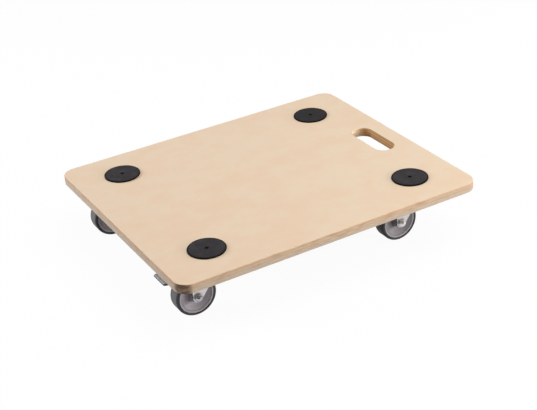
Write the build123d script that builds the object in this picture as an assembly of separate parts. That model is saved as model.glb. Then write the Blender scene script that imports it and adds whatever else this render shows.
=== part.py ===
from build123d import *
import os
from math import cos, floor, pi, radians, sin, tan

# A flat plywood furniture dolly on four swivel castors, two of them with a wheel brake.
# All sizes are in millimetres. The origin lies on the floor under the middle of the deck,
# +X runs along the deck towards the hand slot, +Y to the left of that and +Z up.
# At rest all castors trail towards -X.

# Deck board, plywood
deck_length = 600.0
deck_width = 500.0
deck_thickness = 18.0
deck_corner_radius = 25.0
deck_edge_round = 1.5

# Hand slot through the deck, near its +X end and a little left of the centre line
slot_length = 110.0
slot_width = 40.0
slot_edge_margin = 33.5
slot_offset = 4.0
slot_edge_round = 2.0

# Castor places: swivel axes set in from the deck's ends and sides
castor_inset_end = 92.0
castor_inset_side = 82.0

# Anti-slip pads, one on the deck above each castor
pad_diameter = 67.0
pad_thickness = 2.5
pad_edge_chamfer = 0.8

# Countersunk screw in the middle of each pad
pad_screw_diameter = 3.0
pad_screw_head_diameter = 6.0
pad_screw_head_height = 1.5
pad_screw_tip_cover = 5.0
pad_recess_width = 0.9
pad_recess_length = 3.6
pad_recess_depth = 0.9

# Wheel: grey tyre on a dished plastic core
wheel_diameter = 75.0
tread_width = 28.0
tyre_thickness = 5.0
tyre_side_band = 0.7
rim_inset = 1.6
rim_thickness = 3.4
web_thickness = 8.0
hub_diameter = 22.0
hub_proud = 1.0
hub_base_fillet = 2.0
hub_edge_round = 1.0
dish_angle = 38.0
dish_fillet = 5.0

# Axle: bolt, cap nut and the sleeve that the wheel turns on
axle_diameter = 8.0
axle_across_flats = 13.0
axle_bevel_angle = 30.0
axle_head_height = 5.3
axle_nut_height = 5.0
axle_cap_diameter = 12.0
axle_cap_height = 4.5
axle_end_depth = 0.5
axle_end_gap = 0.5
sleeve_wall = 2.0

# Fork, pressed from one sheet
fork_sheet = 2.5
fork_inner_bend = 1.5
castor_trail = 33.0
wheel_top_gap = 9.8
crown_radius = 26.0
crown_opening_margin = 2.5
leg_end_radius = 9.5
leg_front_reach = 12.5
ear_radius = 5.5

# Swivel head: mounting plate, king pin, two rings of balls and the lower cup
plate_size = 60.0
plate_thickness = 2.5
plate_corner_radius = 8.0
plate_hole_inset = 7.0
king_pin_diameter = 10.0
king_pin_head_diameter = 17.0
king_pin_head_land = 0.5
king_pin_rivet_diameter = 16.0
king_pin_rivet_height = 3.0
upper_ball_diameter = 4.76
lower_ball_diameter = 4.0
ball_spacing = 0.8
race_depth = 0.78
race_edge_margin = 0.4
race_inner_margin = 2.5
cup_thickness = 2.2
cup_edge_margin = 2.0
cup_side_gap = 1.0

# Wood screws that hold the mounting plates
plate_screw_diameter = 5.0
plate_screw_head_diameter = 9.5
plate_screw_head_height = 2.6
plate_screw_crown_diameter = 5.7
plate_screw_tip_cover = 5.0
plate_screw_point = 4.0
plate_recess_width = 1.1
plate_recess_length = 5.2
plate_recess_depth = 1.5

# Brake: pedal on a pivot pin through the fork's ears, with a rubber shoe riveted under it
pedal_sheet = 1.5
pedal_inner_bend = 0.5
pedal_reach = 60.0
pedal_rise = 6.4
pedal_web_front = 14.0
pedal_flange_depth = 9.0
pedal_lip_depth = 3.0
pedal_lug_radius = 4.2
pedal_corner_radius = 3.0
pedal_pivot_back = 3.0
pedal_pivot_drop = 4.8
pedal_press_angle = 10.0
brake_pin_diameter = 5.0
brake_pin_head_diameter = 8.0
brake_pin_head_height = 1.5
shoe_width = 18.0
shoe_front = 19.0
shoe_length = 12.0
shoe_pressed_gap = 0.6
rivet_diameter = 4.0
rivet_head_diameter = 7.0
rivet_head_height = 1.2
rivet_crown_diameter = 4.9
rivet_depth = 4.0

# Clearances
running_clearance = 0.08
bolt_clearance = 0.1
pilot_clearance = 0.05
race_clearance = 0.05
king_pin_gap = 0.5
hub_side_gap = 0.5
pedal_side_gap = 0.3
screw_hole_clearance = 0.3

# Heights that follow from the sizes above
wheel_radius = wheel_diameter / 2
crown_bottom = wheel_diameter + wheel_top_gap
crown_top = crown_bottom + fork_sheet
upper_race_gap = upper_ball_diameter - 2 * race_depth
lower_race_gap = lower_ball_diameter - 2 * race_depth
plate_bottom = crown_top + upper_race_gap
deck_bottom = plate_bottom + plate_thickness
deck_top = deck_bottom + deck_thickness
cup_top = crown_bottom - lower_race_gap
cup_bottom = cup_top - cup_thickness
pad_screw_tip = deck_bottom + pad_screw_tip_cover
plate_screw_tip = deck_top - plate_screw_tip_cover

# Radii and widths that follow from the sizes above; the fork clears both the hub and the cup
axle_radius = axle_diameter / 2
sleeve_bore = axle_radius + bolt_clearance
sleeve_radius = sleeve_bore + sleeve_wall
king_pin_radius = king_pin_diameter / 2
king_pin_hole = king_pin_radius + king_pin_gap
lower_race_radius = king_pin_hole + lower_ball_diameter / 2 + race_inner_margin
cup_radius = lower_race_radius + lower_ball_diameter / 2 + cup_edge_margin
hub_length = tread_width + 2 * hub_proud
fork_inner_width = max(hub_length + 2 * hub_side_gap, 2 * (cup_radius + cup_side_gap))
fork_outer_width = fork_inner_width + 2 * fork_sheet
fork_outer_bend = fork_inner_bend + fork_sheet
upper_race_radius = fork_outer_width / 2 - fork_outer_bend - upper_ball_diameter / 2 - race_edge_margin
pedal_inner_width = fork_outer_width + 2 * pedal_side_gap
pedal_outer_width = pedal_inner_width + 2 * pedal_sheet

# Axle and brake pivot, seen from the side: (x from the swivel axis, height)
axle_x = -castor_trail
pivot_x = axle_x - pedal_pivot_back
pivot_z = crown_bottom - pedal_pivot_drop
pedal_top = pivot_z + pedal_rise
pedal_tip = axle_x - pedal_reach
web_bottom = pedal_top - pedal_sheet

castor_places = {
    "front_left": (1, 1),
    "front_right": (1, -1),
    "rear_left": (-1, 1),
    "rear_right": (-1, -1),
}
braked_castors = ("front_left", "rear_right")


def castor_spot(corner):
    side_x, side_y = castor_places[corner]
    x = side_x * (deck_length / 2 - castor_inset_end)
    y = side_y * (deck_width / 2 - castor_inset_side)
    return Pos(x, y, 0)


def upright(radius, bottom, top, x=0.0, y=0.0):
    # a cylinder along Z between two heights
    return Pos(x, y, (bottom + top) / 2) * Cylinder(radius, top - bottom)


def crosswise(radius, length, x, z):
    # a cylinder along Y, centred on the castor's middle plane
    return Pos(x, 0, z) * Rot(90, 0, 0) * Cylinder(radius, length)


def turned_upright(outline):
    # an outline of (radius, height) points turned about Z
    return revolve(Plane.XZ * make_face(Polyline(*outline, close=True)), Axis.Z)


def turned_crosswise(face):
    # a face of (radius, y) turned about the wheel axle
    return Pos(axle_x, 0, wheel_radius) * revolve(face, Axis.Y)


def race_groove(ring_radius, ball_diameter, height):
    # ring-shaped groove that a ring of balls runs in
    return Pos(0, 0, height) * Torus(ring_radius, ball_diameter / 2 + race_clearance)


def upper_race():
    return race_groove(upper_race_radius, upper_ball_diameter, crown_top + upper_race_gap / 2)


def lower_race():
    return race_groove(lower_race_radius, lower_ball_diameter, cup_top + lower_race_gap / 2)


def cross_recess(length, width, depth, face_height):
    # cross-shaped driver recess, cut from a face at the given height
    blade = Box(length, width, 2 * depth)
    return Pos(0, 0, face_height) * (blade + Rot(0, 0, 90) * blade)


def plate_hole_spots():
    reach = plate_size / 2 - plate_hole_inset
    return [(reach * side_x, reach * side_y) for side_x in (-1, 1) for side_y in (-1, 1)]


def deck_board():
    sheet = RectangleRounded(deck_length, deck_width, deck_corner_radius)
    slot_x = deck_length / 2 - slot_edge_margin - slot_width / 2
    slot = Pos(slot_x, slot_offset) * Rot(0, 0, 90) * SlotOverall(slot_length, slot_width)
    board = Pos(0, 0, deck_bottom) * extrude(sheet - slot, deck_thickness)
    for end in (0, -1):
        flat = board.faces().sort_by(Axis.Z)[end]
        board = fillet(flat.outer_wire().edges(), deck_edge_round)
        flat = board.faces().sort_by(Axis.Z)[end]
        board = fillet(flat.inner_wires()[0].edges(), slot_edge_round)
    pad_pilot = upright(pad_screw_diameter / 2 + pilot_clearance, pad_screw_tip, deck_top)
    plate_pilot = upright(plate_screw_diameter / 2 + pilot_clearance, deck_bottom, plate_screw_tip)
    for corner in castor_places:
        board -= castor_spot(corner) * pad_pilot
        board -= [castor_spot(corner) * Pos(x, y, 0) * plate_pilot for x, y in plate_hole_spots()]
    return board


def pad_screw_seat():
    # height of the lowest and highest point of the pad screw's countersunk head
    low = deck_top + (pad_thickness - pad_screw_head_height) / 2
    return low, low + pad_screw_head_height


def grip_pad():
    radius = pad_diameter / 2
    top = deck_top + pad_thickness
    shank = pad_screw_diameter / 2 + pilot_clearance
    head = pad_screw_head_diameter / 2
    low, high = pad_screw_seat()
    return turned_upright([
        (shank, deck_top),
        (radius, deck_top),
        (radius, top - pad_edge_chamfer),
        (radius - pad_edge_chamfer, top),
        (head, top),
        (head, high),
        (shank, low),
    ])


def pad_screw():
    shank = pad_screw_diameter / 2
    low, high = pad_screw_seat()
    screw = turned_upright([
        (0, pad_screw_tip),
        (shank, pad_screw_tip + pad_screw_diameter),
        (shank, low),
        (pad_screw_head_diameter / 2 - pilot_clearance, high),
        (0, high),
    ])
    return screw - cross_recess(pad_recess_length, pad_recess_width, pad_recess_depth, high)


def plate_screw():
    shank = plate_screw_diameter / 2
    head = plate_screw_head_diameter / 2
    low = plate_bottom - plate_screw_head_height
    screw = turned_upright([
        (0, low),
        (plate_screw_crown_diameter / 2, low),
        (head, plate_bottom - plate_screw_head_height / 2),
        (head, plate_bottom),
        (shank, plate_bottom),
        (shank, plate_screw_tip - plate_screw_point),
        (0, plate_screw_tip),
    ])
    return screw - cross_recess(plate_recess_length, plate_recess_width, plate_recess_depth, low)


def mounting_plate():
    outline = RectangleRounded(plate_size, plate_size, plate_corner_radius)
    plate = Pos(0, 0, plate_bottom) * extrude(outline, plate_thickness)
    plate -= turned_upright(king_pin_head(0.0))
    plate -= upper_race()
    hole = upright(plate_screw_diameter / 2 + screw_hole_clearance, plate_bottom, deck_bottom)
    return plate - [Pos(x, y, 0) * hole for x, y in plate_hole_spots()]


def king_pin_head(below):
    # countersunk head and the start of the shank, reaching the given length under the plate
    return [
        (0, plate_bottom - below),
        (king_pin_radius, plate_bottom - below),
        (king_pin_radius, plate_bottom + king_pin_head_land),
        (king_pin_head_diameter / 2, deck_bottom),
        (0, deck_bottom),
    ]


def king_pin():
    rivet = king_pin_rivet_diameter / 2
    foot = cup_bottom - king_pin_rivet_height
    pin = turned_upright(king_pin_head(plate_bottom - foot))
    pin += upright(rivet, foot, cup_bottom)
    return fillet(pin.edges().group_by(Axis.Z)[0], king_pin_rivet_height / 2)


def bearing_cup():
    cup = upright(cup_radius, cup_bottom, cup_top) - upright(king_pin_radius, cup_bottom, cup_top)
    return cup - lower_race()


def ball_ring(diameter, ring_radius, height):
    count = floor(2 * pi * ring_radius / (diameter + ball_spacing))
    turns = [Rot(0, 0, 360 * step / count) for step in range(count)]
    return [turn * Pos(ring_radius, 0, height) * Sphere(diameter / 2) for turn in turns]


def swivel_balls():
    upper = ball_ring(upper_ball_diameter, upper_race_radius, crown_top + upper_race_gap / 2)
    lower = ball_ring(lower_ball_diameter, lower_race_radius, cup_top + lower_race_gap / 2)
    return Compound(upper + lower)


def channel(width, top, bend):
    # a bar along X with rounded upper edges, standing on the floor
    section = Pos(0, top / 2) * Rectangle(width, top)
    section = fillet(section.vertices().group_by(Axis.Y)[-1], bend)
    reach = castor_trail + pedal_pivot_back + crown_radius + ear_radius
    return extrude(Plane.YZ * section, reach, both=True)


def fork(braked):
    skirt = crown_top - fork_outer_bend
    axle_end = Pos(axle_x, wheel_radius) * Circle(leg_end_radius)
    ear = Pos(pivot_x, pivot_z) * Circle(ear_radius)
    root = Polyline((0, skirt), (leg_front_reach, skirt), (0, crown_bottom))
    leg = make_hull(axle_end.edges() + ear.edges() + root.edges())
    crown = Pos(0, (skirt + crown_top) / 2) * Rectangle(2 * crown_radius, crown_top - skirt)
    side_view = extrude(Plane.XZ * (leg + crown), fork_outer_width, both=True)
    outside = channel(fork_outer_width, crown_top, fork_outer_bend)
    inside = channel(fork_inner_width, crown_bottom, fork_inner_bend)
    body = (outside - inside) & side_view
    disc = upright(crown_radius, 0, crown_top)
    span = 2 * (crown_radius + castor_trail)
    back_half = Pos(-span / 2, 0, crown_top / 2) * Box(span, fork_outer_width, crown_top)
    body = body & (disc + back_half)
    opening_width = fork_inner_width - 2 * crown_opening_margin
    back_opening = Pos(-span / 2, 0, crown_top / 2) * Box(span, opening_width, crown_top)
    body = body - (back_opening - disc)
    body -= upright(king_pin_hole, crown_bottom, crown_top)
    body -= upper_race()
    body -= lower_race()
    body -= crosswise(sleeve_bore, fork_outer_width, axle_x, wheel_radius)
    if braked:
        body -= crosswise(brake_pin_diameter / 2 + running_clearance, fork_outer_width, pivot_x, pivot_z)
    return body


def hexagon(height, side):
    # hexagonal prism standing outwards from the fork's left (1) or right (-1) face,
    # with its outer corners turned off
    flat = axle_across_flats / 2
    corner = flat / cos(pi / 6)
    bevel = (corner - flat) * tan(radians(axle_bevel_angle))
    section = RegularPolygon(flat, 6, major_radius=False)
    prism = Rot(-90, 0, 0) * extrude(section, height)
    outline = [(0, 0), (corner, 0), (corner, height - bevel), (flat, height), (0, height)]
    barrel = revolve(make_face(Polyline(*outline, close=True)), Axis.Y)
    outwards = Rot(0, 0, 90 - 90 * side)
    return Pos(axle_x, side * fork_outer_width / 2, wheel_radius) * outwards * (prism & barrel)


def axle_bolt():
    face = fork_outer_width / 2
    tip = face + axle_nut_height + axle_end_depth
    shank = crosswise(axle_radius, tip + face, axle_x, wheel_radius)
    return hexagon(axle_head_height, 1) + Pos(0, (face - tip) / 2, 0) * shank


def axle_nut():
    # hexagon with a cap shaped as part of a ball, and a blind bore that starts at the castor's middle plane
    base = fork_outer_width / 2 + axle_nut_height
    ball = ((axle_cap_diameter / 2) ** 2 + axle_cap_height ** 2) / (2 * axle_cap_height)
    cap = Pos(axle_x, ball - base - axle_cap_height, wheel_radius) * Sphere(ball)
    outside = crosswise(2 * ball, axle_cap_height, axle_x, wheel_radius)
    cap = cap & (Pos(0, -base - axle_cap_height / 2, 0) * outside)
    bore_end = base + axle_end_depth + axle_end_gap
    bore = crosswise(axle_radius + pilot_clearance, bore_end, axle_x, wheel_radius)
    return hexagon(axle_nut_height, -1) + cap - Pos(0, -bore_end / 2, 0) * bore


def axle_sleeve():
    tube = crosswise(sleeve_radius, fork_inner_width, axle_x, wheel_radius)
    return tube - crosswise(sleeve_bore, fork_inner_width, axle_x, wheel_radius)


def wheel_core():
    rim_outer = wheel_radius - tyre_thickness
    rim_inner = rim_outer - rim_thickness
    rim_half = tread_width / 2 - rim_inset
    web_half = web_thickness / 2
    hub = hub_diameter / 2
    hub_half = hub_length / 2
    bore = sleeve_radius + running_clearance
    dish_reach = (rim_half - web_half) / tan(radians(dish_angle))
    web_edge = max(rim_inner - dish_reach, hub + 2 * hub_base_fillet)
    half = [(bore, 0), (bore, hub_half), (hub, hub_half), (hub, web_half), (web_edge, web_half),
            (rim_inner, rim_half), (rim_outer, rim_half), (rim_outer, 0)]
    face = make_face(Polyline(*half, close=True))

    def corner(point):
        return face.vertices().sort_by_distance((*point, 0))[:1]

    face = fillet(corner((web_edge, web_half)), dish_fillet)
    face = fillet(corner((hub, web_half)), hub_base_fillet)
    face = fillet(corner((hub, hub_half)), hub_edge_round)
    face += mirror(face, Plane.XZ)
    return turned_crosswise(face)


def tyre():
    inner = wheel_radius - tyre_thickness
    face = Pos((inner + wheel_radius) / 2, 0) * Rectangle(tyre_thickness, tread_width)
    face = fillet(face.vertices().group_by(Axis.X)[-1], tyre_thickness - tyre_side_band)
    return turned_crosswise(face)


def brake_pedal():
    depth = pedal_top - pedal_flange_depth
    side_view = make_face(Polyline(
        (pedal_tip, pedal_top),
        (pedal_tip, pedal_top - pedal_lip_depth),
        (axle_x - shoe_front - shoe_length, depth),
        (pivot_x, depth),
        (pivot_x, pedal_top),
        close=True,
    ))
    tray = extrude(Plane.XZ * side_view, pedal_outer_width / 2, both=True)
    tip_corners = tray.edges().filter_by(Axis.Z).group_by(Axis.X)[0]
    tray = fillet(tip_corners, pedal_corner_radius)
    top_edges = tray.faces().sort_by(Axis.Z)[-1].edges().sort_by(Axis.X)[:-1]
    tray = fillet(top_edges, pedal_inner_bend + pedal_sheet)
    reach = pivot_x + pedal_lug_radius - pedal_tip
    hollow_x = pedal_tip + pedal_sheet + reach / 2
    hollow = Pos(hollow_x, 0, web_bottom / 2) * Box(reach, pedal_inner_width, web_bottom)
    hollow = fillet(hollow.faces().sort_by(Axis.Z)[-1].edges(), pedal_inner_bend)
    lugs = crosswise(pedal_lug_radius, pedal_outer_width, pivot_x, pivot_z)
    height = 2 * (pedal_lug_radius + pedal_flange_depth)
    front_x = axle_x - pedal_web_front + reach / 2
    front_opening = Pos(front_x, 0, pivot_z) * Box(reach, pedal_inner_width, height)
    pedal = (tray - hollow) + lugs - front_opening
    pedal -= crosswise(brake_pin_diameter / 2 + running_clearance, pedal_outer_width, pivot_x, pivot_z)
    return pedal - upright(rivet_diameter / 2, web_bottom, pedal_top, x=rivet_x())


def brake_pin():
    between_heads = pedal_outer_width + 2 * pedal_side_gap
    pin = crosswise(brake_pin_diameter / 2, between_heads, pivot_x, pivot_z)
    head = crosswise(brake_pin_head_diameter / 2, brake_pin_head_height, pivot_x, pivot_z)
    offset = (between_heads + brake_pin_head_height) / 2
    return pin + Pos(0, offset, 0) * head + Pos(0, -offset, 0) * head


def rivet_x():
    return axle_x - shoe_front - shoe_length / 2


def pressed_axle():
    # where the axle lies, seen from the pedal, once the pedal has been pressed down
    angle = radians(pedal_press_angle)
    across = axle_x - pivot_x
    up = wheel_radius - pivot_z
    return pivot_x + across * cos(angle) + up * sin(angle), pivot_z - across * sin(angle) + up * cos(angle)


def brake_shoe():
    x, z = pressed_axle()
    block = Pos(rivet_x(), 0, (web_bottom + z) / 2) * Box(shoe_length, shoe_width, web_bottom - z)
    shoe = block - crosswise(wheel_radius + shoe_pressed_gap, 2 * shoe_width, x, z)
    return shoe - upright(rivet_diameter / 2, web_bottom - rivet_depth, web_bottom, x=rivet_x())


def shoe_rivet():
    radius = rivet_diameter / 2
    head = rivet_head_diameter / 2
    dome = turned_upright([
        (0, web_bottom - rivet_depth),
        (radius, web_bottom - rivet_depth),
        (radius, pedal_top),
        (head, pedal_top),
        (rivet_crown_diameter / 2, pedal_top + rivet_head_height),
        (0, pedal_top + rivet_head_height),
    ])
    return Pos(rivet_x(), 0, 0) * dome


pieces = {
    "deck_board": deck_board(),
    "pad_screws": Compound([castor_spot(corner) * pad_screw() for corner in castor_places]),
    "plate_screws": Compound([
        castor_spot(corner) * Pos(x, y, 0) * plate_screw()
        for corner in castor_places
        for x, y in plate_hole_spots()
    ]),
}
castor_pieces = {
    "grip_pad": grip_pad(),
    "mounting_plate": mounting_plate(),
    "king_pin": king_pin(),
    "bearing_cup": bearing_cup(),
    "swivel_balls": swivel_balls(),
    "axle_bolt": axle_bolt(),
    "axle_nut": axle_nut(),
    "axle_sleeve": axle_sleeve(),
    "wheel_core": wheel_core(),
    "tyre": tyre(),
}
brake_pieces = {
    "brake_pedal": brake_pedal(),
    "brake_pin": brake_pin(),
    "brake_shoe": brake_shoe(),
    "shoe_rivet": shoe_rivet(),
}
for corner in castor_places:
    braked = corner in braked_castors
    set_here = dict(castor_pieces, fork=fork(braked))
    if braked:
        set_here.update(brake_pieces)
    for name, piece in set_here.items():
        pieces[f"{name}_{corner}"] = castor_spot(corner) * piece

os.makedirs("parts", exist_ok=True)
for node, piece in pieces.items():
    export_step(piece, f"parts/{node}.step")
print(f"{len(pieces)} nodes, deck top at {deck_top:.2f}, whole height {deck_top + pad_thickness:.2f}")
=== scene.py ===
import math
import bpy
import numpy as np
from mathutils import Matrix, Vector


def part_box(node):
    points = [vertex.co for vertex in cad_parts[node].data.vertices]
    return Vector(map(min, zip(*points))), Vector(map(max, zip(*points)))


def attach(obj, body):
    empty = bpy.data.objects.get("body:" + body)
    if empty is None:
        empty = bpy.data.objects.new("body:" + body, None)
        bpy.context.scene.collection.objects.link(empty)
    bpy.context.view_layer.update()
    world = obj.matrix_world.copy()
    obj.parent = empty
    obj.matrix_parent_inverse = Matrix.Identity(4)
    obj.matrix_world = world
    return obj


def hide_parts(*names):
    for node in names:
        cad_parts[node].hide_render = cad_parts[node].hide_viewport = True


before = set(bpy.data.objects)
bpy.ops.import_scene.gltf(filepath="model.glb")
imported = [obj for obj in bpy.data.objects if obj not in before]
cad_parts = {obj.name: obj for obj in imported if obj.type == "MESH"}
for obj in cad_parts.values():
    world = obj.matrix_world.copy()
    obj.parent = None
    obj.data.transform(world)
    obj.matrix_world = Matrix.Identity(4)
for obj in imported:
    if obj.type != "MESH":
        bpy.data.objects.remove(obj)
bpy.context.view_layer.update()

# Plywood furniture dolly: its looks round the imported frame, all in metres
corners = ("front_left", "front_right", "rear_left", "rear_right")
sharpAngle = 50  # degrees: edges bent further than this stay sharp
tiny = 1e-12  # keeps divisions away from zero


class Value:
    # one shader socket, so that shader maths reads as arithmetic: every operator adds a Math node

    def __init__(self, recipe, socket):
        self.recipe = recipe
        self.socket = socket

    def maths(self, operation, first, second=0.0):
        return self.recipe.node("Math", {"operation": operation}, {0: first, 1: second})

    def __add__(self, other):
        return self.maths("ADD", self, other)

    def __sub__(self, other):
        return self.maths("SUBTRACT", self, other)

    def __rsub__(self, other):
        return self.maths("SUBTRACT", other, self)

    def __mul__(self, other):
        return self.maths("MULTIPLY", self, other)

    def __truediv__(self, other):
        return self.maths("DIVIDE", self, other)

    def __rtruediv__(self, other):
        return self.maths("DIVIDE", other, self)

    def __abs__(self):
        return self.maths("ABSOLUTE", self)

    __radd__ = __add__
    __rmul__ = __mul__

    def fraction(self):
        return self.maths("FRACT", self)

    def smaller(self, other):
        return self.maths("MINIMUM", self, other)

    def larger(self, other):
        return self.maths("MAXIMUM", self, other)

    def root(self):
        return self.maths("SQRT", self)

    def rise(self, low, high):
        # 0 below low, 1 above high, smooth between them
        settings = {"interpolation_type": "SMOOTHSTEP"}
        return self.recipe.node("MapRange", settings, {"Value": self, "From Min": low, "From Max": high})

    def mask(self, pattern):
        # how much of a noise pattern shows: 0 to 1 between its two levels, times its share
        shown = self.rise(*pattern["rise"])
        return shown * pattern["share"] if "share" in pattern else shown

    def swing(self, amount):
        # a noise of 0 to 1 as a change up and down
        return (self - 0.5) * amount


class Recipe:
    # the node tree of one material, or of the world

    def __init__(self, owner):
        if isinstance(owner, str):
            owner = bpy.data.materials.new(owner)
            owner.use_nodes = True
        self.material = owner
        self.tree = owner.node_tree
        self.tree.nodes.clear()

    def node(self, kind, settings, sockets, output=0):
        made = self.tree.nodes.new("ShaderNode" + kind)
        for key, setting in settings.items():
            setattr(made, key, setting)
        for key, item in sockets.items():
            if isinstance(item, Value):
                self.tree.links.new(item.socket, made.inputs[key])
            else:
                made.inputs[key].default_value = item
        return Value(self, made.outputs[output]) if made.outputs else None

    def place(self, output="Object"):
        # the three coordinates of a point on the piece, or of its surface normal
        spot = self.node("TexCoord", {}, {}, output)
        return [self.node("SeparateXYZ", {}, {"Vector": spot}, axis) for axis in range(3)]

    def around(self, middle):
        # the three coordinates of a point on the piece, measured from its middle
        return [part - at for part, at in zip(self.place(), middle.tolist())]

    def noise(self, place, pattern):
        # soft noise of 0 to 1; a pattern gives its waves per metre along x, y and z, and how fine it is
        x, y, z = (part * waves for part, waves in zip(place, pattern["waves"]))
        spot = self.node("CombineXYZ", {}, {"X": x, "Y": y, "Z": z})
        fine = {"Scale": 1.0, "Detail": pattern["detail"], "Roughness": pattern.get("roughness", 0.5)}
        return self.node("TexNoise", {}, {"Vector": spot, **fine})

    def blend(self, share, first, second):
        # from the first colour to the second as share goes from 0 to 1
        return self.node("Mix", {"data_type": "RGBA"}, {0: share, 6: first, 7: second}, 2)

    def bump(self, height, distance, strength):
        return self.node("Bump", {}, {"Height": height, "Distance": distance, "Strength": strength})

    def lightPath(self):
        names = ("Is Camera Ray", "Is Glossy Ray", "Is Transmission Ray")
        return [self.node("LightPath", {}, {}, name) for name in names]

    def surface(self, sockets):
        return self.finish(self.node("BsdfPrincipled", {}, sockets))

    def finish(self, shader):
        kind = "World" if isinstance(self.material, bpy.types.World) else "Material"
        self.node("Output" + kind, {}, {"Surface": shader})
        return self.material


def colour(red, green, blue):
    # a screen colour of 0 to 255 as the linear colour that a shader takes
    screen = np.array([red, green, blue]) / 255
    linear = np.where(screen <= 0.04045, screen / 12.92, ((screen + 0.055) / 1.055) ** 2.4)
    return (*linear.tolist(), 1.0)


def toned(tint, level):
    # a colour made darker or lighter
    return tuple(level * part for part in tint[:3]) + (1.0,)


def middleAndHalf(node):
    # the middle of a CAD node's box, and half of the box's size
    low, high = (np.array(spot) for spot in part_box(node))
    return (low + high) / 2, (high - low) / 2


def gridPiece(name, points, body, node, material):
    # a closed surface from a grid of points, rows by columns, where both wrap round
    index = np.arange(points.shape[0] * points.shape[1]).reshape(points.shape[:2])
    index = np.hstack([index, index[:, :1]])
    index = np.vstack([index, index[:1]])
    quads = np.stack([index[:-1, :-1], index[1:, :-1], index[1:, 1:], index[:-1, 1:]], -1).reshape(-1, 4)
    flat = points.reshape(-1, 3)
    a, b, c, d = (flat[quads[:, k]] for k in range(4))
    volume = np.einsum("ij,ij->", a, np.cross(b, c)) + np.einsum("ij,ij->", a, np.cross(c, d))
    if volume < 0:  # inside out
        quads = quads[:, ::-1]
    mesh = bpy.data.meshes.new(name)
    mesh.from_pydata(flat.tolist(), [], quads.tolist())
    mesh.shade_smooth()
    mesh.set_sharp_from_angle(angle=math.radians(sharpAngle))
    mesh.materials.append(material)
    piece = bpy.data.objects.new(name, mesh)
    bpy.context.scene.collection.objects.link(piece)
    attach(piece, body)
    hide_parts(node)


def roundedProfile(outline, steps=6, support=0.12):
    # a closed outline of (across, along, radius) points: each becomes an arc that touches both its sides,
    # with a support point a little way out on each side so that the flats shade flat
    spots = np.array([point[:2] for point in outline])
    out = []
    for k, point in enumerate(outline):
        here, radius = spots[k], point[2]
        back = spots[k - 1] - here
        ahead = spots[(k + 1) % len(spots)] - here
        back, ahead = back / np.linalg.norm(back), ahead / np.linalg.norm(ahead)
        half = math.acos(np.clip(back @ ahead, -1, 1)) / 2
        reach = radius / math.tan(half)
        centre = here + (back + ahead) / np.linalg.norm(back + ahead) * radius / math.sin(half)
        start, end = here + back * reach - centre, here + ahead * reach - centre
        sweep = math.pi - 2 * half
        share = np.linspace(0, 1, steps + 1)[:, None]
        arc = (np.sin((1 - share) * sweep) * start + np.sin(share * sweep) * end) / math.sin(sweep) + centre
        out += [start + centre + back * radius * support, *arc, end + centre + ahead * radius * support]
    return np.array(out)


def turned(profile, centre, axis, steps):
    # profile points (radius, along) carried round an axis: centre + radius * (cos t, sin t) + along * axis
    turn = np.linspace(0, 2 * math.pi, steps, endpoint=False)
    radius, along = profile[:, :1], profile[:, 1:]
    ring = [radius * np.cos(turn), radius * np.sin(turn)]
    straight = np.broadcast_to(along, ring[0].shape)
    parts = [ring[0], straight, ring[1]] if axis == "y" else [ring[0], ring[1], straight]
    return np.stack(parts, -1) + centre


# Deck panel: birch plywood

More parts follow.
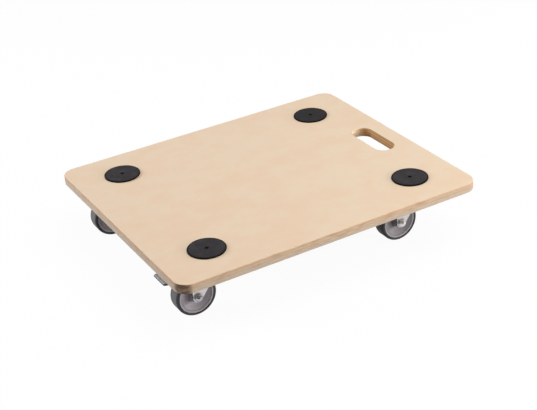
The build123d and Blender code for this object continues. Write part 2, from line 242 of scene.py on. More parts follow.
deck = {
    "cornerRadius": 0.025,
    "edgeRound": 0.0015,
    "slotCentre": (0.2465, 0.004),
    "slotLength": 0.110,
    "slotWidth": 0.040,
    "slotRound": 0.002,
    "plies": 7,
    "plyRelief": 0.00006,
    "plyEase": 0.008,  # share of the thickness over which one ply gives way to the next
    "flatFrom": 1.2,  # the flats start this many rounds in from the edge
    "cornerSteps": 20,
    "sideStep": 0.012,
    "roundSteps": 6,
    "leastTurn": 1e-5,  # headings closer than this are merged
    # face veneer; the third of a pattern's waves is only its layer of the noise
    "face": colour(233, 208, 180),
    "faceWarm": colour(232, 203, 174),
    "faceCool": colour(232, 210, 183),
    "grainDark": colour(208, 170, 131),
    "cloud": {"waves": (6, 8, 0.3), "detail": 2},
    "patch": {"waves": (26, 34, 2.6), "detail": 3, "roughness": 0.55},
    "cloudShare": 0.4,
    "cloudRise": (0.36, 0.64),
    "figure": {"waves": (14, 60, 1.7), "detail": 3, "rise": (0.35, 0.7), "share": 0.3},
    "lines": {"waves": (45, 900, 4.1), "detail": 2, "rise": (0.5, 0.8), "share": 0.10},
    "pores": {"waves": (160, 2600, 8.2), "detail": 1, "rise": (0.66, 0.78)},
    "poreShare": 0.10,
    "faceFrom": (0.70, 0.96),  # upright part of the normal at which edge turns into face
    # edges
    "edgeLight": colour(220, 195, 170),
    "edgeDark": colour(211, 183, 156),
    "edgeStain": colour(176, 140, 108),
    "edgeWarm": colour(232, 180, 135),
    "edgeWarmEnd": colour(200, 160, 120),
    "edgeCool": colour(208, 194, 180),
    "glueLine": colour(150, 112, 80),
    "wander": {"waves": (30, 30, 60), "detail": 2},
    "wanderReach": 0.25,
    "plyChange": (0.45, 0.55),
    "acrossFrom": (0.4, 0.9),
    "glueRise": (0.40, 0.48),
    "glueShare": 0.13,
    "streaks": {"waves": (60, 60, 2400), "detail": 3, "rise": (0.35, 0.75), "share": 0.20},
    "mottle": {"waves": (55, 55, 160), "detail": 3, "roughness": 0.6, "rise": (0.42, 0.72), "share": 0.45},
    "specks": {"waves": (1500, 1500, 700), "detail": 2, "rise": (0.55, 0.8), "share": 0.25},
    "warmDepth": (0.15, 0.55),  # shares of the thickness, from the top
    "warmShare": 0.22,
    "coolDepth": (0.45, 0.85),
    "coolShare": 0.5,
    # the slot's wall: painted shade, and a pale end painted as lit
    "slotShade": colour(248, 192, 128),
    "slotLitEnd": colour(240, 215, 184),
    "slotLine": colour(120, 78, 42),
    "slotFade": (0.002, 0.004),
    "litEndTurn": (-0.75, 0.05),
    "litEndFacing": (-0.5, -0.1),
    "lipRise": (0.1, 0.4),
    "slotShadeShare": 0.8,
    "slotPlyShare": 0.35,
    "slotLitEndShare": 0.9,
    "slotGlueShare": 0.6,
    "slotLipShare": 0.7,
    # painted shade on the rounded corners
    "cornerShade": colour(98, 62, 32),
    "shadeCorner": (-1, -1),
    "shadeElsewhere": 0.15,
    "shadeReach": 1.1,
    "shadeGain": 6,
    "shadeTurn": (0.05, 0.75),
    "shadeShare": 0.78,
    "shadeMottle": {"waves": (80, 80, 120), "detail": 2, "rise": (0.1, 0.6)},
    # gloss and relief
    "shine": 0.30,
    "roughness": 0.50,
    "cloudSwing": 0.15,
    "edgeRougher": 0.18,
    "lineHeight": 0.5,
    "poreDepth": 0.6,
    "speckHeight": 0.35,
    "bump": (0.00012, 0.5),
}


def deckReach(angle, half, radius):
    # distance from the slot's centre, along each angle, to a rounded rectangle round the origin
    heading = np.stack([np.cos(angle), np.sin(angle)], -1)
    start = np.array(deck["slotCentre"])
    limit = (np.sign(heading) * half - start) / np.where(np.abs(heading) < tiny, tiny, heading)
    reach = limit.min(-1)
    hit = start + heading * reach[:, None]
    centre = np.sign(hit) * (half - radius)
    toCentre = centre - start
    ahead = np.einsum("ij,ij->i", toCentre, heading)
    inside = radius**2 - np.einsum("ij,ij->i", toCentre, toCentre) + ahead**2
    onCorner = (np.abs(hit) > half - radius).all(-1)
    return np.where(onCorner, ahead + np.sqrt(np.maximum(inside, 0)), reach)


def slotReach(angle, halfStraight, radius):
    # distance from the slot's centre, along each angle, to the slot's outline: two lines, two half circles
    across, along = np.cos(angle), np.sin(angle)
    toLine = radius / np.maximum(np.abs(across), tiny)
    ahead = halfStraight * np.abs(along)
    toArc = ahead + np.sqrt(np.maximum(radius**2 - halfStraight**2 + ahead**2, 0))
    return np.where(toLine * np.abs(along) <= halfStraight, toLine, toArc)


def deckAngles(half, halfStraight):
    # headings from the slot's centre to points spaced along the deck's outline and along the slot's
    radius = deck["cornerRadius"]
    inner = half - radius
    sides = np.array([(1, 1), (-1, 1), (-1, -1), (1, -1)])
    quarter = np.linspace(0, math.pi / 2, deck["cornerSteps"])
    spots = []
    for k in range(4):
        turn = quarter + k * math.pi / 2
        spots.append(sides[k] * inner + radius * np.stack([np.cos(turn), np.sin(turn)], -1))
        end = sides[(k + 1) % 4] * inner + radius * np.array([np.cos(turn[-1]), np.sin(turn[-1])])
        count = max(2, int(np.linalg.norm(end - spots[-1][-1]) / deck["sideStep"]))
        share = np.linspace(0, 1, count, endpoint=False)[1:, None]
        spots.append(spots[-1][-1] * (1 - share) + end * share)
    outline = np.vstack(spots) - deck["slotCentre"]
    turn = np.linspace(0, math.pi, 2 * deck["cornerSteps"])
    arc = deck["slotWidth"] / 2 * np.stack([np.cos(turn), np.sin(turn)], -1) + (0, halfStraight)
    slot = np.vstack([arc, -arc])
    angles = np.concatenate([np.arctan2(s[:, 1], s[:, 0]) for s in (outline, slot)])
    angles = np.sort(angles)
    return angles[np.concatenate([[True], np.diff(angles) > deck["leastTurn"]])]


def wallProfile(top, bottom, rounding):
    # (inset, height) down one edge: a rounded top, plies that stand back by turns, a rounded bottom
    turn = np.linspace(0, math.pi / 2, deck["roundSteps"] + 1)
    over = np.stack([rounding * (1 - np.sin(turn)), top - rounding * (1 - np.cos(turn))], -1)
    support = np.array([[rounding * deck["flatFrom"], top]])
    bounds = np.linspace(top, bottom, deck["plies"] + 1)
    ease = (top - bottom) * deck["plyEase"]
    rows = []
    for k in range(deck["plies"]):
        high = min(bounds[k] - ease, top - rounding)
        low = max(bounds[k + 1] + ease, bottom + rounding)
        back = deck["plyRelief"] * (k % 2)
        rows += [(back, high), (back, low)]
    under = over[::-1] * (1, -1) + (0, top + bottom)
    return np.vstack([support, over, rows[1:-1], under, support * (1, -1) + (0, top + bottom)])


def deckPanel(material):
    # one closed surface: heading from the slot's centre by place on the section. Each section goes over the
    # top from the slot to the outer edge, down that edge, back underneath and up the slot's wall
    low, high = (np.array(spot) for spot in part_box("deck_board"))
    half = (high - low)[:2] / 2
    halfStraight = (deck["slotLength"] - deck["slotWidth"]) / 2
    angles = deckAngles(half, halfStraight)
    outer = wallProfile(high[2], low[2], deck["edgeRound"])
    inner = wallProfile(high[2], low[2], deck["slotRound"])[::-1]
    rows = [(deckReach(angles, half - inset, deck["cornerRadius"] - inset), z) for inset, z in outer]
    rows += [(slotReach(angles, halfStraight, deck["slotWidth"] / 2 + inset), z) for inset, z in inner]
    reach = np.stack([row[0] for row in rows])
    height = np.array([row[1] for row in rows])[:, None]
    x = deck["slotCentre"][0] + reach * np.cos(angles)
    y = deck["slotCentre"][1] + reach * np.sin(angles)
    points = np.stack([x, y, np.broadcast_to(height, x.shape)], -1)
    gridPiece("deck_panel", points, "deck", "deck_board", material)


def birchPly():
    recipe = Recipe("birch_ply")
    x, y, z = place = recipe.place()
    normal = recipe.place("Normal")
    facingX, facingY, facingZ = (abs(part) for part in normal)
    low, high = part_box("deck_board")

    # face veneer: soft warm and cool clouds, a faint figure, fine grain lines and short pores
    veneer = (x, y, 1.0)
    cloud = recipe.noise(veneer, deck["cloud"])
    patch = recipe.noise(veneer, deck["patch"])
    figure = recipe.noise(veneer, deck["figure"])
    lines = recipe.noise(veneer, deck["lines"])
    pores = recipe.noise(veneer, deck["pores"]).mask(deck["pores"])
    clouds = cloud * deck["cloudShare"] + patch * (1 - deck["cloudShare"])
    face = recipe.blend(clouds.rise(*deck["cloudRise"]), deck["faceWarm"], deck["faceCool"])
    face = recipe.blend(figure.mask(deck["figure"]), face, deck["face"])
    grain = lines.mask(deck["lines"]) + pores * deck["poreShare"]
    face = recipe.blend(grain, face, deck["grainDark"])

    # edges: long grain and end grain by turns, swapped on the sides that lie across the face grain
    level = (z - low[2]) / (high[2] - low[2]) * deck["plies"]
    level = level + recipe.noise(place, deck["wander"]).swing(deck["wanderReach"])
    odd = (level / 2).fraction().rise(*deck["plyChange"])
    across = facingX.rise(*deck["acrossFrom"])
    endGrain = odd + across - 2 * odd * across
    glue = abs(level.fraction() - 0.5).rise(*deck["glueRise"])
    streaks = recipe.noise(place, deck["streaks"])
    mottle = recipe.noise(place, deck["mottle"])
    specks = recipe.noise(place, deck["specks"])
    edge = recipe.blend(endGrain, deck["edgeLight"], deck["edgeDark"])
    edge = recipe.blend(streaks.mask(deck["streaks"]), edge, deck["edgeDark"])
    edge = recipe.blend(mottle.mask(deck["mottle"]), edge, deck["edgeStain"])
    edge = recipe.blend(specks.mask(deck["specks"]) * endGrain, edge, deck["edgeStain"])
    edge = recipe.blend(glue * deck["glueShare"], edge, deck["glueLine"])
    depth = (high[2] - z) / (high[2] - low[2])
    warm = recipe.blend(across, deck["edgeWarm"], deck["edgeWarmEnd"])
    edge = recipe.blend((1 - depth.rise(*deck["warmDepth"])) * deck["warmShare"], edge, warm)
    edge = recipe.blend(depth.rise(*deck["coolDepth"]) * deck["coolShare"], edge, deck["edgeCool"])

    # the slot's wall is painted warm brown as shade, but for one end that is painted pale as lit
    slotRadius = deck["slotWidth"] / 2
    fromLine = abs(x - deck["slotCentre"][0])
    pastLine = (abs(y - deck["slotCentre"][1]) - (deck["slotLength"] / 2 - slotRadius)).larger(0.0)
    fromSlot = (fromLine * fromLine + pastLine * pastLine).root()
    inSlot = 1 - fromSlot.rise(*(slotRadius + fade for fade in deck["slotFade"]))
    # pale: the end wall facing -y, painted as lit; the rest of the wall is painted shade
    pale = normal[0].rise(*deck["litEndTurn"]) * (1 - normal[1].rise(*deck["litEndFacing"]))
    lip = inSlot * facingZ.rise(*deck["lipRise"])
    shadedWall = inSlot * (1 - pale)
    darkLines = (inSlot * glue * deck["slotGlueShare"]).larger(lip * deck["slotLipShare"])
    edge = recipe.blend(shadedWall * deck["slotShadeShare"], edge, deck["slotShade"])
    edge = recipe.blend(shadedWall * odd * deck["slotPlyShare"], edge, deck["slotLine"])
    edge = recipe.blend(inSlot * pale * deck["slotLitEndShare"], edge, deck["slotLitEnd"])
    edge = recipe.blend(darkLines * (1 - pale), edge, deck["slotLine"])

    # rounded corners are painted darker as shade, one of them far more than the others
    half = (high - low) / 2
    inset = deck["cornerRadius"] * deck["shadeReach"]
    cornered = (abs(x) - (half[0] - inset)).rise(0.0, inset) * (abs(y) - (half[1] - inset)).rise(0.0, inset)
    sideX, sideY = deck["shadeCorner"]
    worst = (x * sideX).rise(0.0, inset) * (y * sideY).rise(0.0, inset)
    amount = deck["shadeElsewhere"] + (1 - deck["shadeElsewhere"]) * worst
    shadeMottle = recipe.noise(place, deck["shadeMottle"]).mask(deck["shadeMottle"])
    cornerShade = (cornered * deck["shadeGain"]).smaller(1.0) * shadeMottle
    bend = (facingX * facingY * 2).rise(*deck["shadeTurn"])
    edge = recipe.blend(cornerShade * amount * bend * deck["shadeShare"], edge, deck["cornerShade"])

    flat = facingZ.rise(*deck["faceFrom"])
    height = lines * deck["lineHeight"] - pores * deck["poreDepth"] + specks * deck["speckHeight"]
    return recipe.surface({
        "Base Color": recipe.blend(flat, edge, face),
        "Roughness": deck["roughness"] + cloud.swing(deck["cloudSwing"]) + (1 - flat) * deck["edgeRougher"],
        "Specular IOR Level": deck["shine"],
        "Normal": recipe.bump(height, *deck["bump"]),
    })


# Grip pads: matt black rubber discs

pad = {
    "edgeRound": 0.0008,
    "footRound": 0.0002,
    "holeRound": 0.0004,
    "seatRound": 0.0001,
    "shankRadius": 0.0016,
    "headRadius": 0.00305,
    "headSink": 0.0005,
    "headHeight": 0.0015,
    "dimpleRadius": 0.0035,
    "steps": 160,
    "top": colour(44, 41, 43),
    "topDusty": colour(58, 55, 57),
    "edge": colour(15, 11, 9),
    "topFrom": (0.5, 0.95),
    "rim": (0.0034, 0.0017),  # in from the edge: where the dark rim starts, and where it is full
    "dimpleFade": 0.0008,
    "tone": {"front_left": 0.55},  # one pad is painted darker than the others: painted shade
    "dust": {"waves": (60, 60, 60), "detail": 4, "roughness": 0.6, "rise": (0.4, 0.7)},
    "grain": {"waves": (1400, 1400, 1400), "detail": 2},
    "shine": 0.08,
    "roughness": 0.60,
    "dustSwing": 0.25,
    "bump": (0.00008, 0.6),
}


def padDisc(corner, material):
    # a turned ring: flat top with a rounded rim, straight side, a dimple over the seat of the screw's head
    centre, half = middleAndHalf("grip_pad_" + corner)
    radius, thick = half[0], half[2]
    sink = thick - pad["headSink"]
    seat = sink - pad["headHeight"]
    profile = roundedProfile([
        (pad["shankRadius"], -thick, pad["seatRound"]), (radius, -thick, pad["footRound"]),
        (radius, thick, pad["edgeRound"]), (pad["dimpleRadius"], thick, pad["holeRound"]),
        (pad["headRadius"], sink, pad["seatRound"]), (pad["shankRadius"], seat, pad["seatRound"]),
    ])
    points = turned(profile, centre, "z", pad["steps"])
    gridPiece("pad_disc_" + corner, points, "deck", "grip_pad_" + corner, material)


def padRubber(corner):
    # a faintly dusty top; the rim and the side stay dark, and the dimple round the screw's head is painted
    # dark as shade
    recipe = Recipe("pad_rubber_" + corner)
    place = recipe.place()
    facing = abs(recipe.place("Normal")[2])
    grain = recipe.noise(place, pad["grain"])
    dust = recipe.noise(place, pad["dust"])
    middle, half = middleAndHalf("grip_pad_" + corner)
    x, y, _ = recipe.around(middle)
    radius = (x * x + y * y).root()
    rim = radius.rise(*(float(half[0]) - inset for inset in pad["rim"]))
    top = facing.rise(*pad["topFrom"]) * (1 - rim)
    # the dimple takes the dark colour: painted shade in the recess
    top = top * radius.rise(pad["dimpleRadius"], pad["dimpleRadius"] + pad["dimpleFade"])
    # painted shade: one pad's colours are made darker
    tone = pad["tone"].get(corner, 1.0)
    clean, dusty = toned(pad["top"], tone), toned(pad["topDusty"], tone)
    base = recipe.blend(dust.mask(pad["dust"]), clean, dusty)
    return recipe.surface({
        "Base Color": recipe.blend(top, pad["edge"], base),
        "Roughness": pad["roughness"] + dust.swing(pad["dustSwing"]),
        "Specular IOR Level": pad["shine"],
        "Normal": recipe.bump(grain, *pad["bump"]),
    })


# Tyres: grey thermoplastic rubber

tyre = {
    "shoulder": 0.0043,
    "innerRound": 0.0003,
    "roundSteps": 10,
    "steps": 192,
    "tread": colour(121, 119, 118),
    "treadWorn": colour(99, 97, 96),
    "side": colour(88, 86, 90),
    "sideFrom": (0.52, 0.82),  # shares of the half width at which tread turns into side
    "scuff": {"waves": (90, 160, 90), "detail": 4, "roughness": 0.6, "rise": (0.4, 0.75), "share": 0.6},
    "grain": {"waves": (1200, 1200, 1200), "detail": 2},
    "shine": 0.10,
    "roughness": 0.48,
    "scuffSwing": 0.3,
    "bump": (0.00008, 0.5),
}


def tyreRing(corner, material):
    # a turned ring: a flat tread between round shoulders, and a bore that sits on the core
    centre, half = middleAndHalf("tyre_" + corner)
    radius, width = half[2], half[1]
    inside = middleAndHalf("wheel_core_" + corner)[1][2]
    profile = roundedProfile([
        (inside, -width, tyre["innerRound"]), (radius, -width, tyre["shoulder"]),
        (radius, width, tyre["shoulder"]), (inside, width, tyre["innerRound"]),
    ], steps=tyre["roundSteps"])
    points = turned(profile, centre, "y", tyre["steps"])
    node, body = "tyre_" + corner, "wheel_" + corner
    gridPiece("tyre_ring_" + corner, points, body, node, material)


def greyTyre(corner):
    # a scuffed tread between darker sides
    recipe = Recipe("grey_tyre_" + corner)
    middle, half = middleAndHalf("tyre_" + corner)
    place = recipe.around(middle)
    side = abs(place[1]).rise(*(float(half[1]) * share for share in tyre["sideFrom"]))
    scuff = recipe.noise(place, tyre["scuff"])
    grain = recipe.noise(place, tyre["grain"])
    base = recipe.blend(scuff.mask(tyre["scuff"]), tyre["tread"], tyre["treadWorn"])
    return recipe.surface({
        "Base Color": recipe.blend(side, base, tyre["side"]),
        "Roughness": tyre["roughness"] + scuff.swing(tyre["scuffSwing"]),
        "Specular IOR Level": tyre["shine"],
        "Normal": recipe.bump(grain + scuff, *tyre["bump"]),
    })


# Wheel cores: light grey moulded plastic

core = {
    "rimInset": 0.0016,
    "rimThickness": 0.0034,
    "web": 0.008,
    "hubRadius": 0.011,
    "dishAngle": 38,
    "boreRadius": 0.00618,
    "rimRound": 0.0005,
    "lipRound": 0.00025,
    "rimStep": 0.0009,
    "stepWidth": 0.0011,
    "stepRound": 0.0002,
    "dishRound": 0.0060,
    "hubFillet": 0.002,
    "hubRound": 0.001,
    "roundSteps": 8,
    "support": 0.02,
    "steps": 160,
    "body": colour(181, 175, 183),
    "shadow": colour(152, 146, 154),
    "groove": colour(128, 123, 130),
    "rim": colour(204, 200, 206),
    "tone": {"front_right": 0.75},  # one core is painted darker than the others: painted shade
    "rimFade": 0.0003,
    "grooveShare": 0.6,
    "rimLightShare": 0.5,
    "mottle": {"waves": (70, 70, 70), "detail": 3, "rise": (0.4, 0.8), "share": 0.35},
    "grain": {"waves": (1600, 1600, 1600), "detail": 2},
    "shine": 0.20,
    "roughness": 0.34,
    "mottleSwing": 0.2,
    "bump": (0.00004, 0.4),
}


def wheelDisc(corner, material):
    # a turned section: rim, a small step, a cone down to the web, web and hub, the same on both sides
    centre, half = middleAndHalf("wheel_core_" + corner)
    rim, hubHalf = half[2], half[1]
    rimHalf = middleAndHalf("tyre_" + corner)[1][1] - core["rimInset"]
    rimInside, webHalf = rim - core["rimThickness"], core["web"] / 2
    webEdge = rimInside - (rimHalf - webHalf) / math.tan(math.radians(core["dishAngle"]))
    stepHalf, stepInside = rimHalf - core["rimStep"], rimInside - core["stepWidth"]
    side = [
        (rim, rimHalf, core["rimRound"]), (rimInside, rimHalf, core["lipRound"]),
        (rimInside, stepHalf, core["stepRound"]), (stepInside, stepHalf, core["rimRound"]),
        (webEdge, webHalf, core["dishRound"]), (core["hubRadius"], webHalf, core["hubFillet"]),
        (core["hubRadius"], hubHalf, core["hubRound"]), (core["boreRadius"], hubHalf, core["rimRound"]),
    ]
    other = [(across, -along, radius) for across, along, radius in side[::-1]]
    profile = roundedProfile(side + other, core["roundSteps"], core["support"])
    points = turned(profile, centre, "y", core["steps"])
    node, body = "wheel_core_" + corner, "wheel_" + corner
    gridPiece("wheel_disc_" + corner, points, body, node, material)


def greyPlastic(corner):
    # a faintly mottled moulding, with a painted shadow in the step beside the rim and painted light on the
    # rim
    recipe = Recipe("grey_plastic_" + corner)
    middle, half = middleAndHalf("wheel_core_" + corner)
    x, _, z = place = recipe.around(middle)
    rimInside = float(half[2]) - core["rimThickness"]
    radius = (x * x + z * z).root()
    # painted light on the rim's lip, painted shadow in the step inside it
    onRim = radius.rise(rimInside - core["rimFade"], rimInside + core["rimFade"])
    stepShadowMask = radius.rise(rimInside - core["stepWidth"] * 2, rimInside - core["stepWidth"]) * (1 - onRim)
    mottle = recipe.noise(place, core["mottle"])
    grain = recipe.noise(place, core["grain"])
    # painted shade: one core's colours are made darker
    body, shadow = (toned(core[key], core["tone"].get(corner, 1.0)) for key in ("body", "shadow"))
    base = recipe.blend(mottle.mask(core["mottle"]), body, shadow)
    base = recipe.blend(stepShadowMask * core["grooveShare"], base, core["groove"])
    return recipe.surface({
        "Base Color": recipe.blend(onRim * core["rimLightShare"], base, core["rim"]),
        "Roughness": core["roughness"] + mottle.swing(core["mottleSwing"]),
        "Specular IOR Level": core["shine"],
        "Normal": recipe.bump(grain, *core["bump"]),
    })


# Plated steel

zinc = {
    # plating, dull plating and roughness of each finish; the axle fasteners at one corner are painted
    # brighter, a painted reflection
    "pressing": (colour(235, 232, 231), colour(214, 212, 212), 0.30),
    "fastener": (colour(235, 232, 231), colour(214, 212, 212), 0.22),
    "bearing": (colour(205, 205, 208), colour(120, 112, 96), 0.25),
    "axle": (colour(196, 197, 201), colour(176, 177, 182), 0.22),
    "axlePaintedBright": {"front_right": (colour(252, 250, 250), colour(244, 242, 242), 0.31)},
    "bloom": {"waves": (45, 45, 45), "detail": 4, "roughness": 0.6, "rise": (0.35, 0.75)},
    "drawn": {"waves": (220, 220, 1600), "detail": 2},
    "bloomSwing": 0.22,
    "drawnSwing": 0.10,
    "bump": (0.00004, 0.35),
}


def plating(recipe, place, sheet, finish):
    # a cloudy bloom and fine drawn lines: the colour, roughness and relief of plated sheet
    tone, dull, roughness = finish
    bloom = recipe.noise(place, sheet["bloom"])
    drawn = recipe.noise(place, sheet["drawn"])
    base = recipe.blend(bloom.mask(sheet["bloom"]), tone, dull)
    rough = roughness + bloom.swing(sheet["bloomSwing"]) + drawn.swing(sheet["drawnSwing"])
    return base, rough, recipe.bump(drawn, *sheet["bump"])


def zincPlate(name, finish):
    # the same plating all over, for plates, pins and fasteners
    recipe = Recipe(name)
    base, rough, relief = plating(recipe, recipe.place(), zinc, finish)
    return recipe.surface({"Base Color": base, "Metallic": 1.0, "Roughness": rough, "Normal": relief})


fork = {
    "axleShade": colour(138, 138, 142),
    "axleShadeReach": (0.0070, 0.0115),
    "axleShadeShare": 0.4,
    "legEdgeShade": colour(58, 58, 61),
    "cutFrom": (0.5, 0.9),
    "legEdgeShadeShare": 0.85,
    "cutRougher": 0.25,
    "crownFrom": (0.030, 0.042),  # heights above the axle at which the legs turn into the crown
}


def forkSteel(corner):
    # the plated fork: painted shade round the axle, and the cut edges of its legs painted dark as shade
    recipe = Recipe("fork_steel_" + corner)
    x, _, z = place = recipe.around(middleAndHalf("tyre_" + corner)[0])
    facing = abs(recipe.place("Normal")[1])
    # painted shade round the axle, where the nut shades the leg
    axleShadeMask = 1 - (x * x + z * z).root().rise(*fork["axleShadeReach"])
    # the legs' cut edges are painted dark as shade; they are also rougher
    cut = (1 - facing.rise(*fork["cutFrom"])) * (1 - z.rise(*fork["crownFrom"]))
    base, rough, relief = plating(recipe, place, zinc, zinc["pressing"])
    base = recipe.blend(axleShadeMask * fork["axleShadeShare"], base, fork["axleShade"])
    base = recipe.blend(cut * fork["legEdgeShadeShare"], base, fork["legEdgeShade"])
    rough = rough + cut * fork["cutRougher"]
    return recipe.surface({"Base Color": base, "Metallic": 1.0, "Roughness": rough, "Normal": relief})


pedal = {
    "finish": (colour(222, 223, 224), colour(206, 207, 208), 0.48),
    # painted shade on the faces that don't turn up
    "edge": colour(84, 85, 88),
    "topFrom": (0.5, 0.9),
    "metallic": 0.25,
    "bloom": {"waves": (60, 60, 60), "detail": 4, "roughness": 0.6, "rise": (0.35, 0.75)},
    "drawn": {"waves": (1200, 160, 1200), "detail": 2},
    "bloomSwing": 0.2,
    "drawnSwing": 0.1,
    "bump": (0.00004, 0.35),
}


def pedalSteel():
    # satin sheet: the top is painted pale as lit, and the bent and cut edges are painted dark as shade
    recipe = Recipe("pedal_steel")
    # faces that turn up are painted pale as lit, the others dark as shade
    top = abs(recipe.place("Normal")[2]).rise(*pedal["topFrom"])
    base, rough, relief = plating(recipe, recipe.place(), pedal, pedal["finish"])
    base = recipe.blend(top, pedal["edge"], base)
    metallic = pedal["metallic"]
    return recipe.surface({"Base Color": base, "Metallic": metallic, "Roughness": rough, "Normal": relief})


# Pad screws and brake shoes

screw = {
    "black": colour(10, 10, 12),
    "worn": colour(26, 25, 27),
    "wear": {"waves": (500, 500, 500), "detail": 3, "rise": (0.55, 0.8)},
    "shine": 0.02,
    "roughness": 0.55,
    "wearSwing": 0.3,
}


def blackScrew():
    # blackened steel, worn in spots
    recipe = Recipe("black_screw")
    wear = recipe.noise(recipe.place(), screw["wear"])
    return recipe.surface({
        "Base Color": recipe.blend(wear.mask(screw["wear"]), screw["black"], screw["worn"]),
        "Roughness": screw["roughness"] + wear.swing(screw["wearSwing"]),
        "Specular IOR Level": screw["shine"],
    })


shoe = {
    "dark": colour(34, 34, 36),
    "grey": colour(62, 60, 58),
    "grain": {"waves": (900, 900, 900), "detail": 3, "rise": (0.3, 0.8)},
    "roughness": 0.7,
    "grainSwing": 0.2,
    "bump": (0.0001, 0.6),
}


def shoeRubber():
    # coarse dark rubber
    recipe = Recipe("shoe_rubber")
    grain = recipe.noise(recipe.place(), shoe["grain"])
    return recipe.surface({
        "Base Color": recipe.blend(grain.mask(shoe["grain"]), shoe["dark"], shoe["grey"]),
        "Roughness": shoe["roughness"] + grain.swing(shoe["grainSwing"]),
        "Normal": recipe.bump(grain, *shoe["bump"]),
    })


def dress(material, *prefixes):
    # gives this material to every CAD node whose name starts with one of the prefixes
    for name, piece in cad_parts.items():
        if name.startswith(prefixes):
            piece.data.materials.clear()
            piece.data.materials.append(material)


deckPanel(birchPly())
print("deck panel done")
for corner in corners:
    padDisc(corner, padRubber(corner))
    tyreRing(corner, greyTyre(corner))
    wheelDisc(corner, greyPlastic(corner))
print("pads and wheels done")

for corner in corners:
    dress(forkSteel(corner), "fork_" + corner)
    # painted reflection: one corner's axle fasteners are made brighter
    axleZinc = zincPlate("axle_zinc_" + corner, zinc["axlePaintedBright"].get(corner, zinc["axle"]))
    dress(axleZinc, "axle_bolt_" + corner, "axle_nut_" + corner)
dress(zincPlate("zinc_pressing", zinc["pressing"]), "mounting_plate_", "bearing_cup_")
dress(zincPlate("zinc_fastener", zinc["fastener"]), "king_pin_", "plate_screws", "brake_pin_", "shoe_rivet_")
dress(zincPlate("bearing_steel", zinc["bearing"]), "swivel_balls_", "axle_sleeve_")
dress(pedalSteel(), "brake_pedal_")
print("metal done")
dress(blackScrew(), "pad_screws")
dress(shoeRubber(), "brake_shoe_")
print("screws and brake shoes done")

# Floor, light and camera

studio = {
    "floorSize": 8.0,
    "floorSeen": 1.0,
    "floorBounce": 0.40,
    "shadowShare": 0.05,
    "mirrorShadow": 0.60,
    "ambient": 0.09,
    "darkSide": (-0.75, -0.62, 0.20),
    "darkLevel": 0.05,
    "darkFrom": 0.05,
    "darkTo": 0.75,
    "lamps": [
        # name, place, aim, size, power, colour, mirrored in shiny surfaces
        ("overhead", (0.8, -0.45, 2.3), (0, 0, 0.1), (2.4, 2.2), 46.5, (1.0, 1.0, 1.0), True),
        ("left", (-2.1, 1.7, 1.15), (0, 0, 0.1), (1.6, 1.2), 53, (0.90, 0.94, 1.0), False),
        ("leftLow", (-2.2, 1.0, 0.6), (0, 0, 0.05), (1.4, 0.8), 10, (0.90, 0.94, 1.0), False),
        ("right", (1.30, -1.46, 0.42), (0, 0, 0.05), (2.9, 0.38), 35, (1.0, 0.985, 0.94), False),
    ],
}
white = (1.0, 1.0, 1.0, 1.0)


def studioFloor():
    # white where the camera or a mirror-like surface looks at it, with a share of its lit colour for the
    # shadow, and a larger share in the mirror-like surfaces, which are close to the shaded part
    recipe = Recipe("floor_white")
    eye, mirror, glass = recipe.lightPath()
    seen = eye.larger(mirror).larger(glass)
    tone = recipe.blend(seen, toned(white, studio["floorBounce"]), toned(white, studio["floorSeen"]))
    lit = recipe.node("BsdfDiffuse", {}, {"Color": tone})
    glow = recipe.node("Emission", {}, {"Color": white, "Strength": 1.0})
    direct = eye.larger(glass) * (1 - studio["shadowShare"])
    glowing = direct.larger(mirror * (1 - studio["mirrorShadow"]))
    recipe.finish(recipe.node("MixShader", {}, {0: glowing, 1: lit, 2: glow}))
    side = studio["floorSize"]
    spots = [(-side, -side, 0), (side, -side, 0), (side, side, 0), (-side, side, 0)]
    mesh = bpy.data.meshes.new("floor")
    mesh.from_pydata(spots, [], [(0, 1, 2, 3)])
    mesh.materials.append(recipe.material)
    floor = bpy.data.objects.new("floor", mesh)
    bpy.context.scene.collection.objects.link(floor)


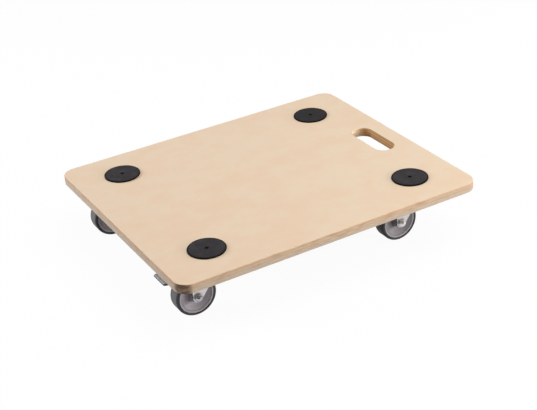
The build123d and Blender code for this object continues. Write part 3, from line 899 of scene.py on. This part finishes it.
def studioWorld():
    # white to the camera; to the object a soft room that is dark on one side
    world = bpy.data.worlds.new("studio")
    bpy.context.scene.world = world
    world.use_nodes = True
    recipe = Recipe(world)
    side = Vector(studio["darkSide"]).normalized()
    towards = sum(part * share for part, share in zip(recipe.place("Generated"), side))
    room = 1 - towards.rise(studio["darkFrom"], studio["darkTo"]) * (1 - studio["darkLevel"])
    eye, mirror, glass = recipe.lightPath()
    level = (mirror.larger(studio["ambient"]) * room).larger(eye).larger(glass)
    recipe.finish(recipe.node("Background", {}, {"Color": white, "Strength": level}))


def studioLamps():
    # soft rectangular lamps, each turned towards its aim
    for name, place, aim, size, power, tint, mirrored in studio["lamps"]:
        lamp = bpy.data.lights.new(name, "AREA")
        lamp.shape = "RECTANGLE"
        lamp.size, lamp.size_y = size
        lamp.energy = power
        lamp.color = tint
        holder = bpy.data.objects.new(name, lamp)
        holder.visible_glossy = mirrored
        holder.location = place
        holder.rotation_euler = (Vector(aim) - Vector(place)).to_track_quat("-Z", "Y").to_euler()
        bpy.context.scene.collection.objects.link(holder)


camera = {
    "aim": (-0.04790, -0.09918, 0.11041),
    "azimuth": -28.543,
    "elevation": 28.856,
    "roll": -4.191,
    "distance": 2.19483,
    "focalPixels": 1247.17,
    "pictureWidth": 537,
    "sensorWidth": 36.0,
}


def studioCamera():
    # stands back from the aim along azimuth and elevation, and is rolled about its own line of sight
    turn, lift, roll = (math.radians(camera[key]) for key in ("azimuth", "elevation", "roll"))
    back = Vector((math.sin(turn) * math.cos(lift), -math.cos(turn) * math.cos(lift), math.sin(lift)))
    level = Vector((0, 0, 1)).cross(back).normalized()
    upright = back.cross(level)
    right = math.cos(roll) * level + math.sin(roll) * upright
    up = math.cos(roll) * upright - math.sin(roll) * level
    stand = Matrix.Translation(Vector(camera["aim"]) + back * camera["distance"])
    lens = bpy.data.cameras.new("camera")
    lens.sensor_width = camera["sensorWidth"]
    lens.lens = camera["focalPixels"] / camera["pictureWidth"] * camera["sensorWidth"]
    holder = bpy.data.objects.new("camera", lens)
    holder.matrix_world = stand @ Matrix([right, up, back]).transposed().to_4x4()
    bpy.context.scene.collection.objects.link(holder)
    bpy.context.scene.camera = holder


studioFloor()
studioWorld()
studioLamps()
studioCamera()
bpy.context.scene.view_settings.view_transform = "Standard"
print("studio done")
